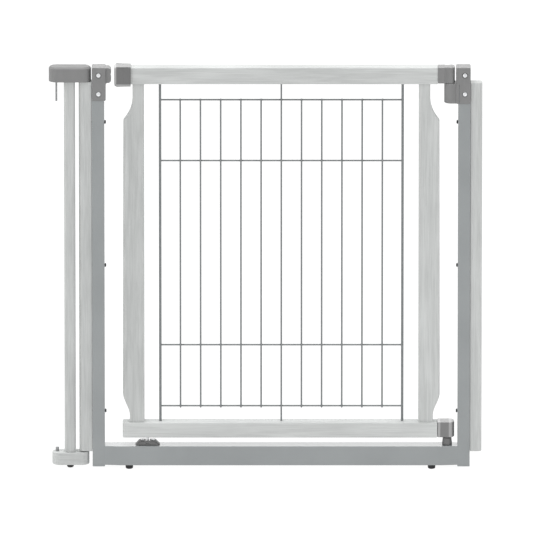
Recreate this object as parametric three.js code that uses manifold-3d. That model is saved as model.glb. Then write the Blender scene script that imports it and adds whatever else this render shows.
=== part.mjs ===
// Freestanding pet gate section: a steel threshold frame with wooden side posts, a two-way
// wire door that hangs on two pins, a sliding lock sleeve, and a link that joins the next panel.
// Millimetres, +Z up, +X to the hinge side, -Y to the front. The origin is on the floor, mid-width.
import * as THREE from "three";
import { mergeVertices } from "three/addons/utils/BufferGeometryUtils.js";
import Module from "manifold-3d";

const wasm = await Module();
wasm.setup();

// ---- driving dimensions ----
const GAP = 0.3; // between pieces that touch
const HALF_WIDTH = 424; // outer post face to the middle

const bar = { bottom: 8, top: 46.8, halfDepth: 17.3, wall: 1.6, corner: 1.5 };
const upright = { width: 24.3, halfDepth: 14, bottom: 8, top: 780, wall: 1.6, corner: 1.5 };
const uprightSpans = { left: [-339.8, -315.5], right: [376.6, 400.9] };
const plug = { bottom: 5, spigotTop: 24, edge: 0.6 };
const post = { halfDepth: 11, bottom: 35, edge: 1, rim: 0.8 };
const leftPost = { outer: -365.5, top: 785.5, bullnose: 8.9 };
const rightPost = { outer: HALF_WIDTH, top: 784, bullnose: 7 };
const postScrewHeights = [115.5, 412, 702.5];
const postScrew = { headRadius: 3.9, headHeight: 3, radius: 2, bite: 13, woodHole: 2.4, steelHole: 2.6 };
const foot = { radius: 7.5, inset: 8.8, stem: 2.5, stemRise: 6 };
const feetX = [-267.7, 326.1];

const bracket = { halfDepth: 15.5, chamfer: 2.2, leftBottom: 748.4, rightBottom: 742.7, top: 815.7,
  seat: 782 };
const bracketScrewHeights = [762, 800];
const bracketScrew = { headRadius: 4.2, headHeight: 1.2, radius: 2.2, length: 26, sink: 0.9, hole: 2.6 };
const plateEdge = { left: -312.6, right: 372.4 }; // the inner edges of the two bracket plates
const nub = { tip: -302, hollow: 1.6, bottom: 783.5, top: 814.5, tongueBottom: 784.8, halfDepth: 12.4 };

const stop = { middle: -231.5, footHalf: 24.2, topHalf: 17.2, top: 54.8, groove: 50.4, grooveHalf: 3.9,
  halfDepth: 12.4, screwOffset: 10.6 };
const stopScrew = { headRadius: 3.4, headHeight: 1.4, radius: 2, length: 12, hole: 2.3 };
const stopPeg = { radius: 2.5, bottom: 52.4, top: 76 };

const hinge = { x: 356.5, pin: 4, bore: 4.3 };
const knuckle = { middle: 362.8, radius: 13.7, bottom: 742.6, top: 783, pinFoot: 751.6 };
const bush = { radius: 9.8, topRadius: 8.6, top: 61.2, floor: 3 };
const upperCap = { bottom: 783.3, top: 815.2, halfDepth: 13.3, boreDepth: 22, pinRise: 18 };
const lowerCap = { bottom: 64.6, top: 95.3, halfDepth: 15.2, boreDepth: 22, pinRise: 18, boss: 6.5 };
const tongue = { length: 20, halfDepth: 5, halfHeight: 7 };

const topRail = { bottom: 781.6, top: 814.8, halfDepth: 12.7, left: -284 };
const bottomRail = { bottom: 63.8, top: 94.4, halfDepth: 14.8, left: -280.6 };
const railEnd = 336.7;
const stile = { width: 41.2, topWidth: 22.4, bottomWidth: 28.4, halfDepth: 10 };
const stileInner = { left: -237.7, right: 299.6 };
const neck = { lowStart: 108.5, lowEnd: 154.5, highStart: 704.5, highEnd: 754.5 };
const dowel = { radius: 3.8, length: 30 };
const sleeve = { left: -295.7, right: -263.6, bottom: 777, top: 817, halfDepth: 16.8,
  lowChamfer: 5.2, highChamfer: 2.4, endLength: 3.2, endInset: 1.4, floor: 2.2, pocketChamfer: 1 };
const wires = { count: 13, pitch: 39.55, middle: 30.8, thin: 1.7, thick: 2.55, sunk: 9 };
const crossWires = [124.5, 248.9, 623.3, 746.6];

const pivotX = -356.6; // the link swings about this line
const freeX = -409.2; // the next panel's post hangs on this line
const cap = { radius: 15.3, left: -424, bottom: 786, top: 815.8, chamfer: 3 };
const block = { left: -418.9, right: -346.2, radius: 15.5, bottom: 8, top: 33 };
const linkPost = { left: -394.6, right: -372.6, edge: 6 };
const linkScrew = { radius: 2, headRadius: 4.2, headHeight: 2.2, sink: 1, rise: 25, hole: 2.4,
  headHole: 4.6 };
const hangPin = { radius: 2, length: 41, sunk: 14 };
const peg = { radius: 3.25, rise: 8.4, sunk: 12 };

// ---- finishes ----
const wood = () => new THREE.MeshStandardMaterial({ color: 0xc6c8c6, roughness: 0.62, metalness: 0 });
const steelPaint = () => new THREE.MeshStandardMaterial({ color: 0x979c9d, roughness: 0.45, metalness: 0.1 });
const resin = () => new THREE.MeshStandardMaterial({ color: 0x858686, roughness: 0.5, metalness: 0 });
const darkResin = () => new THREE.MeshStandardMaterial({ color: 0x686969, roughness: 0.55, metalness: 0 });
const rubber = () => new THREE.MeshStandardMaterial({ color: 0x2c2c2c, roughness: 0.85, metalness: 0 });
const zinc = () => new THREE.MeshStandardMaterial({ color: 0xd6d8d9, roughness: 0.3, metalness: 0.9 });
const blackScrew = () => new THREE.MeshStandardMaterial({ color: 0x3a3b3c, roughness: 0.5, metalness: 0.5 });
const wirePaint = () => new THREE.MeshStandardMaterial({ color: 0x8f9293, roughness: 0.4, metalness: 0.2 });

// ---- solids ----
function solidOf(geometry) {
  const loose = geometry.index ? geometry.toNonIndexed() : geometry;
  const bare = new THREE.BufferGeometry();
  bare.setAttribute("position", loose.getAttribute("position").clone());
  const merged = mergeVertices(bare, 1e-4);
  return new wasm.Manifold(
    new wasm.Mesh({
      numProp: 3,
      vertProperties: merged.getAttribute("position").array,
      triVerts: new Uint32Array(merged.index.array),
    }),
  );
}

function geometryOf(solid) {
  const mesh = solid.getMesh();
  const geometry = new THREE.BufferGeometry();
  geometry.setAttribute("position", new THREE.BufferAttribute(mesh.vertProperties, 3));
  geometry.setIndex(new THREE.BufferAttribute(mesh.triVerts, 1));
  return geometry.toNonIndexed();
}

const join = (first, ...others) =>
  geometryOf(others.reduce((sum, g) => sum.add(solidOf(g)), solidOf(first)));

const cut = (body, ...tools) =>
  geometryOf(tools.reduce((rest, g) => rest.subtract(solidOf(g)), solidOf(body)));

// A rectangle with a corner radius on its low side and another on its high side (first axis).
function roundedOutline(x0, x1, y0, y1, lowRadius, highRadius = lowRadius) {
  const outline = new THREE.Shape();
  outline.moveTo(x0 + lowRadius, y0);
  outline.absarc(x1 - highRadius, y0 + highRadius, highRadius, -Math.PI / 2, 0);
  outline.absarc(x1 - highRadius, y1 - highRadius, highRadius, 0, Math.PI / 2);
  outline.absarc(x0 + lowRadius, y1 - lowRadius, lowRadius, Math.PI / 2, Math.PI);
  outline.absarc(x0 + lowRadius, y0 + lowRadius, lowRadius, Math.PI, 1.5 * Math.PI);
  return outline;
}

function polygon(points) {
  return new THREE.Shape(points.map(([x, y]) => new THREE.Vector2(x, y)));
}

// An outline pulled out along its third axis from low to high, its rims chamfered.
function pulled(outline, low, high, chamfer, curveSegments, inset = chamfer) {
  const geometry = new THREE.ExtrudeGeometry(outline, {
    depth: high - low - 2 * chamfer,
    curveSegments,
    bevelEnabled: chamfer > 0,
    bevelThickness: chamfer,
    bevelSize: inset,
    bevelOffset: -inset,
    bevelSegments: 1,
  });
  return geometry.translate(0, 0, low + chamfer);
}

const alongZ = (outline, low, high, chamfer = 0, segments = 6) =>
  pulled(outline, low, high, chamfer, segments);

// The outline's axes are X and Z.
const alongY = (outline, low, high, chamfer = 0, segments = 6) =>
  pulled(outline, -high, -low, chamfer, segments).rotateX(Math.PI / 2);

// The outline's axes are Y and Z.
const alongX = (outline, low, high, chamfer = 0, segments = 6, inset = chamfer) =>
  pulled(outline, low, high, chamfer, segments, inset).applyMatrix4(
    new THREE.Matrix4().makeBasis(
      new THREE.Vector3(0, 1, 0),
      new THREE.Vector3(0, 0, 1),
      new THREE.Vector3(1, 0, 0),
    ),
  );

function block3(x0, x1, y0, y1, z0, z1) {
  return new THREE.BoxGeometry(x1 - x0, y1 - y0, z1 - z0).translate(
    (x0 + x1) / 2,
    (y0 + y1) / 2,
    (z0 + z1) / 2,
  );
}

const rodZ = (radius, x, y, z0, z1, sides = 20) =>
  new THREE.CylinderGeometry(radius, radius, z1 - z0, sides)
    .rotateX(Math.PI / 2)
    .translate(x, y, (z0 + z1) / 2);

const rodY = (radius, x, z, y0, y1, sides = 16) =>
  new THREE.CylinderGeometry(radius, radius, y1 - y0, sides).translate(x, (y0 + y1) / 2, z);

const rodX = (radius, y, z, x0, x1, sides = 16) =>
  new THREE.CylinderGeometry(radius, radius, x1 - x0, sides)
    .rotateZ(Math.PI / 2)
    .translate((x0 + x1) / 2, y, z);

// A turned piece: [radius, height] pairs from the axis at the bottom to the axis at the top.
const turned = (profile, sides = 20) =>
  new THREE.LatheGeometry(
    profile.map(([radius, height]) => new THREE.Vector2(radius, height)),
    sides,
  ).rotateX(Math.PI / 2);

function piece(name, geometry, material, x = 0, y = 0, z = 0) {
  const mesh = new THREE.Mesh(geometry, material);
  mesh.name = name;
  mesh.position.set(x, y, z);
  return mesh;
}

// ---- steel threshold frame ----
function tubeOutline(low, high, halfDepth, wall, corner) {
  const outline = roundedOutline(low, high, -halfDepth, halfDepth, corner);
  outline.holes.push(
    roundedOutline(low + wall, high - wall, wall - halfDepth, halfDepth - wall, corner / 2),
  );
  return outline;
}

function uprightTube([low, high], bracketHoles) {
  const { halfDepth, wall, corner, bottom, top } = upright;
  const tube = alongZ(tubeOutline(low, high, halfDepth, wall, corner), bottom, top, 0, 3);
  const postHoles = postScrewHeights.map((z) => rodX(postScrew.steelHole, 0, z, low - 1, high + 1, 10));
  return cut(tube, ...postHoles, ...bracketHoles);
}

function uprightPlug([low, high]) {
  const { halfDepth, wall, corner } = upright;
  const flange = alongZ(
    roundedOutline(low, high, -halfDepth, halfDepth, corner),
    plug.bottom,
    upright.bottom - GAP,
    plug.edge,
    3,
  );
  const inset = wall + 2 * GAP;
  const spigot = block3(
    low + inset, high - inset, inset - halfDepth, halfDepth - inset, plug.bottom + 1, plug.spigotTop,
  );
  return join(flange, spigot);
}

function baseBar() {
  const outline = roundedOutline(-bar.halfDepth, bar.halfDepth, bar.bottom, bar.top, bar.corner);
  const inner = bar.halfDepth - bar.wall;
  outline.holes.push(
    roundedOutline(-inner, inner, bar.bottom + bar.wall, bar.top - bar.wall, bar.corner / 2),
  );
  const low = uprightSpans.left[1] + GAP;
  const high = uprightSpans.right[0] - GAP;
  const stemHoles = feetX.flatMap((x) =>
    [-foot.inset, foot.inset].map((y) =>
      rodZ(foot.stem + GAP, x, y, bar.bottom - 1, bar.bottom + 4, 12),
    ),
  );
  const stopHoles = stopScrewX.map((x) => rodZ(stopScrew.hole, x, 0, bar.top - 4, bar.top + 1, 10));
  return cut(alongX(outline, low, high, 0, 3), ...stemHoles, ...stopHoles);
}

// A rubber dome with a stem; its own origin is on the floor.
const domeProfile = (radius, height, stemTop) => [
  [0, 0],
  [radius * 0.42, 0],
  [radius * 0.78, height * 0.24],
  [radius * 0.95, height * 0.55],
  [radius, height],
  [foot.stem, height],
  [foot.stem, stemTop],
  [0, stemTop],
];

function baseFeet() {
  const height = bar.bottom - GAP;
  return feetX.flatMap((x, end) =>
    [-foot.inset, foot.inset].map((y, row) => {
      const name = `foot_${end ? "right" : "left"}_${row ? "back" : "front"}`;
      const dome = turned(domeProfile(foot.radius, height, height + foot.stemRise));
      return piece(name, dome, rubber(), x, y, 0);
    }),
  );
}

// ---- wooden side posts ----
const postHoles = (x0, x1) => postScrewHeights.map((z) => rodX(postScrew.woodHole, 0, z, x0, x1, 10));

function leftPostWood() {
  const face = uprightSpans.left[0] - GAP;
  const outline = roundedOutline(
    leftPost.outer, face, -post.halfDepth, post.halfDepth, leftPost.bullnose, post.edge,
  );
  const pinDepth = hangPin.length + 4;
  return cut(
    alongZ(outline, post.bottom, leftPost.top, post.rim, 6),
    rodZ(hangPin.radius + GAP, pivotX, 0, leftPost.top - pinDepth, leftPost.top + 1, 16),
    rodZ(peg.radius + GAP, pivotX, 0, post.bottom - 1, post.bottom + 9, 16),
    ...postHoles(face - 16, face + 1),
  );
}

function rightPostWood() {
  const face = uprightSpans.right[1] + GAP;
  const outline = roundedOutline(
    face, rightPost.outer, -post.halfDepth, post.halfDepth, post.edge, rightPost.bullnose,
  );
  return cut(
    alongZ(outline, post.bottom, rightPost.top, post.rim, 6),
    ...postHoles(face - 1, face + 16),
  );
}

// A domed screw along +Z, its seat at its own origin, its shank down.
const domedScrew = (headRadius, headHeight, shankRadius, length, sides = 16) =>
  turned(
    [
      [0, -length],
      [shankRadius, 2 - length],
      [shankRadius, 0],
      [headRadius, 0],
      [headRadius * 0.92, headHeight * 0.5],
      [headRadius * 0.6, headHeight * 0.87],
      [0, headHeight],
    ],
    sides,
  );

function postScrews() {
  const { headRadius, headHeight, radius, bite } = postScrew;
  return postScrewHeights.flatMap((z, i) =>
    ["left", "right"].map((side) => {
      const out = side === "left" ? 1 : -1;
      const face = side === "left" ? uprightSpans.left[1] : uprightSpans.right[0];
      const screw = domedScrew(headRadius, headHeight, radius, upright.width + bite, 14);
      const mesh = piece(`${side}_post_screw_${i + 1}`, screw, blackScrew());
      mesh.position.set(face + out * GAP, 0, z);
      mesh.rotation.y = (out * Math.PI) / 2;
      return mesh;
    }),
  );
}

// ---- top brackets ----
const bracketScrewX = { left: -326.7, right: 389.8 };

const bracketHoles = (x) => {
  const { halfDepth } = bracket;
  return bracketScrewHeights.map((z) => rodY(bracketScrew.hole, x, z, -halfDepth - 5, halfDepth - 1, 12));
};

// The shallow seats that the screw heads lie in.
const headSeats = (x) => {
  const front = -bracket.halfDepth;
  const { headRadius, sink } = bracketScrew;
  return bracketScrewHeights.map((z) => rodY(headRadius + 0.6, x, z, front - 1, front + sink, 20));
};

const bracketShell = (x0, x1, bottom, lowRadius, highRadius) =>
  alongY(
    roundedOutline(x0, x1, bottom, bracket.top, lowRadius, highRadius),
    -bracket.halfDepth,
    bracket.halfDepth,
    bracket.chamfer,
    4,
  );

// The room that the upright takes up inside a bracket.
const uprightRoom = (x0, x1, bottom) =>
  block3(x0, x1, -upright.halfDepth - GAP, upright.halfDepth + GAP, bottom - 5, bracket.seat);

// The catch beside the left bracket: two rounded lips with a shallow hollow between them.
function catchOutline() {
  const { tip, hollow, bottom, top, tongueBottom } = nub;
  const plate = plateEdge.left;
  const outline = new THREE.Shape();
  outline.moveTo(plate - 8, bottom - 3);
  outline.lineTo(plate - 0.5, bottom - 3);
  outline.quadraticCurveTo(plate, bottom, plate + 3, bottom);
  outline.lineTo(tip - 6, bottom);
  outline.lineTo(tip - 4.2, tongueBottom);
  outline.quadraticCurveTo(tip, tongueBottom + 0.4, tip, tongueBottom + 6);
  outline.quadraticCurveTo(tip - hollow, tongueBottom + 14, tip, top - 10);
  outline.quadraticCurveTo(tip - 0.2, top - 5, tip - 3.6, top - 1.4);
  outline.quadraticCurveTo(tip - 5, top, tip - 7.5, top);
  outline.lineTo(plate - 8, top);
  outline.closePath();
  return outline;
}

function leftBracket() {
  const [x0, x1] = uprightSpans.left;
  const shell = bracketShell(x0, plateEdge.left, bracket.leftBottom, 2.6, 3.6);
  const catchNub = alongY(catchOutline(), -nub.halfDepth, nub.halfDepth, 0, 4);
  return cut(
    join(shell, catchNub),
    uprightRoom(x0 - 5, x1 + GAP, bracket.leftBottom),
    ...bracketHoles(bracketScrewX.left),
    ...headSeats(bracketScrewX.left),
  );
}

function rightBracket() {
  const [x0, x1] = uprightSpans.right;
  const { middle, radius, bottom, top, pinFoot } = knuckle;
  const shell = bracketShell(plateEdge.right, x1, bracket.rightBottom, 3.6, 2.6);
  const plan = new THREE.Shape();
  plan.moveTo(x0 - 1, -radius);
  plan.lineTo(x0 - 1, radius);
  plan.lineTo(middle, radius);
  plan.absarc(middle, 0, radius, Math.PI / 2, 1.5 * Math.PI);
  plan.closePath();
  return cut(
    join(shell, alongZ(plan, bottom, top, 0.8, 12)),
    uprightRoom(x0 - GAP, x1 + 5, bracket.rightBottom),
    rodZ(hinge.bore, hinge.x, 0, pinFoot - 1, top + 1),
    ...bracketHoles(bracketScrewX.right),
    ...headSeats(bracketScrewX.right),
  );
}

function bracketScrews() {
  const { headRadius, headHeight, radius, length, sink } = bracketScrew;
  return ["left", "right"].flatMap((side) =>
    bracketScrewHeights.map((z, i) => {
      const name = `${side}_bracket_screw_${i ? "upper" : "lower"}`;
      const screw = piece(name, domedScrew(headRadius, headHeight, radius, length, 20), zinc());
      screw.position.set(bracketScrewX[side], sink - GAP - bracket.halfDepth, z);
      screw.rotation.x = Math.PI / 2;
      return screw;
    }),
  );
}

// ---- door stop on the threshold ----
const stopScrewX = [stop.middle - stop.screwOffset, stop.middle + stop.screwOffset];

function doorStop() {
  const { middle, footHalf, topHalf, top, grooveHalf, groove, halfDepth } = stop;
  const low = bar.top + GAP;
  const half = [
    [footHalf, low],
    [footHalf - 0.8, low + 1],
    [topHalf, top - 0.8],
    [topHalf - 1, top],
    [grooveHalf + 0.8, top],
    [grooveHalf, top - 0.8],
    [grooveHalf, groove],
  ];
  const right = half.map(([x, z]) => [middle + x, z]);
  const left = half.map(([x, z]) => [middle - x, z]).reverse();
  const holes = stopScrewX.map((x) => rodZ(stopScrew.hole, x, 0, low - 1, top + 1, 10));
  return cut(alongY(polygon([...right, ...left]), -halfDepth, halfDepth, 0.4), ...holes);
}

function stopScrews() {
  const { headRadius, headHeight, radius, length } = stopScrew;
  return stopScrewX.map((x, i) => {
    const screw = domedScrew(headRadius, headHeight, radius, length, 14);
    return piece(`door_stop_screw_${i ? "right" : "left"}`, screw, zinc(), x, 0, stop.top + GAP);
  });
}

// ---- hinge ----
function pivotBush() {
  const { radius, topRadius, top, floor } = bush;
  const bottom = bar.top + GAP;
  const body = turned([
    [0, bottom],
    [radius - 0.8, bottom],
    [radius, bottom + 1.4],
    [radius, bottom + 4],
    [topRadius, top - 0.8],
    [topRadius - 0.8, top],
    [0, top],
  ], 24);
  return cut(body.translate(hinge.x, 0, 0), rodZ(hinge.bore, hinge.x, 0, bottom + floor, top + 1));
}

const hingePin = (low, high) =>
  turned([
    [0, low],
    [hinge.pin - 0.7, low],
    [hinge.pin, low + 0.7],
    [hinge.pin, high - 1.5],
    [hinge.pin - 1.5, high],
    [0, high],
  ]);

// A corner fitting: one half of its plan, mirrored, and a tongue that sits in the rail's mortise.
function cornerFitting(half, { bottom, top }, rail) {
  const mirrored = half.map(([x, y]) => [x, -y]).reverse();
  const middle = (rail.bottom + rail.top) / 2;
  const { length, halfDepth, halfHeight } = tongue;
  return join(
    alongZ(polygon([...mirrored, ...half]), bottom, top, 0.6),
    block3(railEnd - length, railEnd + 3, -halfDepth, halfDepth, middle - halfHeight, middle + halfHeight),
  );
}

// Points of an arc, angles in degrees.
function arcPoints(x, y, radius, start, end, steps) {
  return Array.from({ length: steps + 1 }, (_, i) => {
    const angle = ((start + ((end - start) * i) / steps) * Math.PI) / 180;
    return [x + radius * Math.cos(angle), y + radius * Math.sin(angle)];
  });
}

// Square against the rail, scooped in front of the pin, then rounded at the free end.
function upperHingeCap() {
  const { bottom, halfDepth, boreDepth } = upperCap;
  const end = [...arcPoints(hinge.x + 5.6, 4, 8, 8, 90, 6), ...arcPoints(355.5, 19.4, 8.6, 290, 236, 5)];
  const half = [...end, [346.5, halfDepth], [railEnd + GAP, halfDepth]];
  return cut(
    cornerFitting(half, upperCap, topRail),
    rodZ(hinge.bore, hinge.x, 0, bottom - 1, bottom + boreDepth),
  );
}

// Round-cornered, with a boss that rests on the bush.
function lowerHingeCap() {
  const { bottom, halfDepth, boreDepth, boss } = lowerCap;
  const end = arcPoints(hinge.x + 3, 4.2, 11, 0, 90, 8);
  const half = [...end, [342, halfDepth], [railEnd + GAP, halfDepth - 2.8]];
  return cut(
    join(cornerFitting(half, lowerCap, bottomRail), rodZ(boss, hinge.x, 0, bush.top + GAP, bottom + 1, 24)),
    rodZ(hinge.bore, hinge.x, 0, bush.top - 1, bottom + boreDepth),
  );
}

// ---- door woodwork ----
const dowelX = {
  left: stileInner.left - stile.topWidth / 2,
  right: stileInner.right + stile.topWidth / 2,
};
const wireX = (i) => wires.middle + (i - (wires.count - 1) / 2) * wires.pitch;
const longWires = [0, (wires.count - 1) / 2, wires.count - 1];
const wireRadius = (i) => (i === 0 || i === wires.count - 1 ? wires.thick : wires.thin);

const dowelHoles = (low, high) =>
  [dowelX.left, dowelX.right].map((x) => rodZ(dowel.radius + GAP, x, 0, low, high, 16));

const wireHoles = (low, high) =>
  longWires.map((i) => rodZ(wireRadius(i) + GAP, wireX(i), 0, low, high, 10));

function mortise(rail) {
  const middle = (rail.bottom + rail.top) / 2;
  const { length, halfDepth, halfHeight } = tongue;
  return block3(railEnd - length - 1, railEnd + 1, -halfDepth - GAP, halfDepth + GAP,
    middle - halfHeight - 1, middle + halfHeight + 1);
}

function topRailWood() {
  const { bottom, top, halfDepth, left } = topRail;
  return cut(
    alongX(roundedOutline(-halfDepth, halfDepth, bottom, top, 1.5), left, railEnd, 0.6, 3),
    mortise(topRail),
    ...dowelHoles(bottom - 1, bottom + dowel.length / 2 + 1),
    ...wireHoles(bottom - 1, bottom + wires.sunk + 1),
  );
}

function bottomRailWood() {
  const { bottom, top, halfDepth, left } = bottomRail;
  return cut(
    alongZ(roundedOutline(left, railEnd, -halfDepth, halfDepth, 4, 1.6), bottom, top, 1.2, 4),
    mortise(bottomRail),
    rodZ(stopPeg.radius + GAP, stop.middle, 0, bottom - 1, stopPeg.top + 1, 16),
    ...dowelHoles(top - dowel.length / 2 - 1, top + 1),
    ...wireHoles(top - wires.sunk - 1, top + 1),
  );
}

// A stile, necked at both ends on its outer side; side is -1 on the left and 1 on the right.
function stileWood(inner, side) {
  const at = (width) => inner + side * width;
  const { width, topWidth, bottomWidth, halfDepth } = stile;
  const { lowStart, lowEnd, highStart, highEnd } = neck;
  const low = bottomRail.top + GAP;
  const high = topRail.bottom - GAP;
  const outline = new THREE.Shape();
  outline.moveTo(inner, low);
  outline.lineTo(at(bottomWidth), low);
  outline.lineTo(at(bottomWidth), lowStart);
  outline.bezierCurveTo(at(bottomWidth + 0.4), lowEnd - 20, at(width), lowEnd - 20, at(width), lowEnd);
  outline.lineTo(at(width), highStart);
  outline.quadraticCurveTo(at(width), highStart + 4, at(width - 3), highStart + 7);
  outline.quadraticCurveTo(at(topWidth + 0.6), highEnd - 21, at(topWidth), highEnd);
  outline.lineTo(at(topWidth), high);
  outline.lineTo(inner, high);
  outline.closePath();
  const x = side < 0 ? dowelX.left : dowelX.right;
  const depth = dowel.length / 2 + 1;
  const holes = [[low - 1, low + depth], [high - depth, high + 1]];
  return cut(
    alongY(outline, -halfDepth, halfDepth, 1, 8),
    ...holes.map(([z0, z1]) => rodZ(dowel.radius + GAP, x, 0, z0, z1, 16)),
  );
}

function dowelPin() {
  const { radius, length } = dowel;
  return turned([
    [0, -length / 2],
    [radius - 1, -length / 2],
    [radius, 1 - length / 2],
    [radius, length / 2 - 1],
    [radius - 1, length / 2],
    [0, length / 2],
  ], 16);
}

function dowels() {
  return ["left", "right"].flatMap((side) =>
    [bottomRail.top, topRail.bottom].map((joint, i) =>
      piece(`${side}_stile_dowel_${i ? "top" : "bottom"}`, dowelPin(), wood(), dowelX[side], 0, joint),
    ),
  );
}

const stopPegPin = () =>
  turned([
    [0, stopPeg.bottom],
    [stopPeg.radius - 0.8, stopPeg.bottom],
    [stopPeg.radius, stopPeg.bottom + 0.8],
    [stopPeg.radius, stopPeg.top],
    [0, stopPeg.top],
  ], 16).translate(stop.middle, 0, 0);

// ---- welded wire panel ----
function wirePanel() {
  const first = crossWires[0] - 3;
  const last = crossWires[crossWires.length - 1] + 3;
  const uprights = Array.from({ length: wires.count }, (_, i) => {
    const long = longWires.includes(i);
    const low = long ? bottomRail.top - wires.sunk : first;
    const high = long ? topRail.bottom + wires.sunk : last;
    return rodZ(wireRadius(i), wireX(i), 0, low, high, 8);
  });
  const back = wires.thin * 1.75;
  const reach = wires.thick;
  const crosses = crossWires.map((z) =>
    rodX(wires.thin, back, z, wireX(0) - reach, wireX(wires.count - 1) + reach, 8),
  );
  return join(...uprights.slice(0, 1), ...crosses, ...uprights.slice(1));
}

// ---- lock sleeve that slides along the top rail ----
// An upright box with one chamfer on its two lower edges and another on its two upper edges.
const chamferedOutline = (halfDepth, bottom, top, low, high) =>
  polygon([
    [low - halfDepth, bottom],
    [halfDepth - low, bottom],
    [halfDepth, bottom + low],
    [halfDepth, top - high],
    [halfDepth - high, top],
    [high - halfDepth, top],
    [-halfDepth, top - high],
    [-halfDepth, bottom + low],
  ]);

function lockSleeve() {
  const { left, right, bottom, top, halfDepth, lowChamfer, highChamfer, endLength, endInset } = sleeve;
  const outline = chamferedOutline(halfDepth, bottom, top, lowChamfer, highChamfer);
  const body = alongX(outline, left, right + endLength, endLength, 1, endInset);
  const squareEnd = block3(right, right + 2 * endLength, -halfDepth - 1, halfDepth + 1, bottom - 1, top + 1);
  const room = topRail.halfDepth + GAP;
  const channel = alongX(
    chamferedOutline(room, topRail.bottom - GAP, topRail.top + GAP, 0.8, 0.8), left + 4, right + 5,
  );
  const pocket = alongX(
    chamferedOutline(room, bottom + sleeve.floor, topRail.top + GAP, sleeve.pocketChamfer, 0.6),
    left - 5,
    topRail.left - GAP,
  );
  return cut(body, squareEnd, channel, pocket);
}

// ---- link to the next panel ----
function capsule(x0, x1, radius) {
  const outline = new THREE.Shape();
  outline.moveTo(x0 + radius, -radius);
  outline.absarc(x1 - radius, 0, radius, -Math.PI / 2, Math.PI / 2);
  outline.absarc(x0 + radius, 0, radius, Math.PI / 2, 1.5 * Math.PI);
  return outline;
}

function linkCap() {
  const { radius, bottom, top, chamfer } = cap;
  const plan = capsule(cap.left, pivotX + radius, radius);
  const crown = alongZ(plan, bottom, top, chamfer, 10);
  const skirt = alongZ(plan, bottom, top - chamfer - 1, 0, 10);
  const pinBores = [freeX, pivotX].map((x) =>
    rodZ(hangPin.radius + GAP, x, 0, bottom - 1, bottom + hangPin.sunk + 1, 16),
  );
  return cut(join(skirt, crown), ...pinBores);
}

const linkMiddle = (linkPost.left + linkPost.right) / 2;

function linkBlock() {
  const { left, right, radius, bottom, top } = block;
  const seat = bottom + linkScrew.sink + linkScrew.headHeight;
  const pegBores = [freeX, pivotX].map((x) =>
    rodZ(peg.radius + GAP, x, 0, top - peg.sunk - 1, top + 1, 16),
  );
  return cut(
    alongZ(capsule(left, right, radius), bottom, top, 1.2, 8),
    ...pegBores,
    rodZ(linkScrew.hole, linkMiddle, 0, bottom - 1, top + 1, 12),
    rodZ(linkScrew.headHole, linkMiddle, 0, bottom - 1, seat + GAP, 16),
  );
}

function linkPostWood() {
  const { left, right, edge } = linkPost;
  const outline = roundedOutline(left, right, -post.halfDepth, post.halfDepth, edge);
  return cut(
    alongZ(outline, block.top + GAP, cap.bottom - GAP, 0, 5),
    rodZ(linkScrew.hole, linkMiddle, 0, block.top - 1, block.top + linkScrew.rise + 3, 12),
  );
}

// The screw that holds the link post from below, its head sunk in the block.
function linkPostScrew() {
  const { radius, headRadius, headHeight, sink, rise } = linkScrew;
  const low = block.bottom + sink;
  return turned([
    [0, low],
    [headRadius, low],
    [headRadius, low + headHeight],
    [radius, low + headHeight],
    [radius, block.top + rise - 5],
    [0, block.top + rise],
  ], 16);
}

function linkFoot() {
  const height = block.bottom - GAP;
  const dome = domeProfile(7, height, height).slice(0, 5);
  return turned([...dome, [0, height]]);
}

function hangingPin() {
  const { radius, length, sunk } = hangPin;
  return turned([
    [0, cap.bottom - length],
    [radius - 0.8, cap.bottom - length],
    [radius, cap.bottom - length + 1],
    [radius, cap.bottom + sunk],
    [0, cap.bottom + sunk],
  ], 14);
}

function standingPeg() {
  const { radius, rise, sunk } = peg;
  return turned([
    [0, block.top - sunk],
    [radius, block.top - sunk],
    [radius, block.top + rise - 1],
    [radius - 1, block.top + rise],
    [0, block.top + rise],
  ], 16);
}

const linkPins = () =>
  [["free", freeX], ["pivot", pivotX]].flatMap(([side, x]) => [
    piece(`link_${side}_pin`, hangingPin(), zinc(), x),
    piece(`link_${side}_peg`, standingPeg(), zinc(), x),
  ]);

// ---- assembly ----
function uprightWithPlug(side) {
  const span = uprightSpans[side];
  return [
    piece(`${side}_upright`, uprightTube(span, bracketHoles(bracketScrewX[side])), steelPaint()),
    piece(`${side}_upright_plug`, uprightPlug(span), darkResin()),
  ];
}

function frameGroup() {
  const group = new THREE.Group();
  group.add(
    piece("base_bar", baseBar(), steelPaint()),
    ...uprightWithPlug("left"),
    ...uprightWithPlug("right"),
    piece("left_post", leftPostWood(), wood()),
    piece("right_post", rightPostWood(), wood()),
    piece("left_bracket", leftBracket(), resin()),
    piece("right_bracket", rightBracket(), resin()),
    piece("door_stop", doorStop(), darkResin()),
    piece("pivot_bush", pivotBush(), darkResin()),
    ...postScrews(),
    ...bracketScrews(),
    ...stopScrews(),
    ...baseFeet(),
  );
  return group;
}

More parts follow.
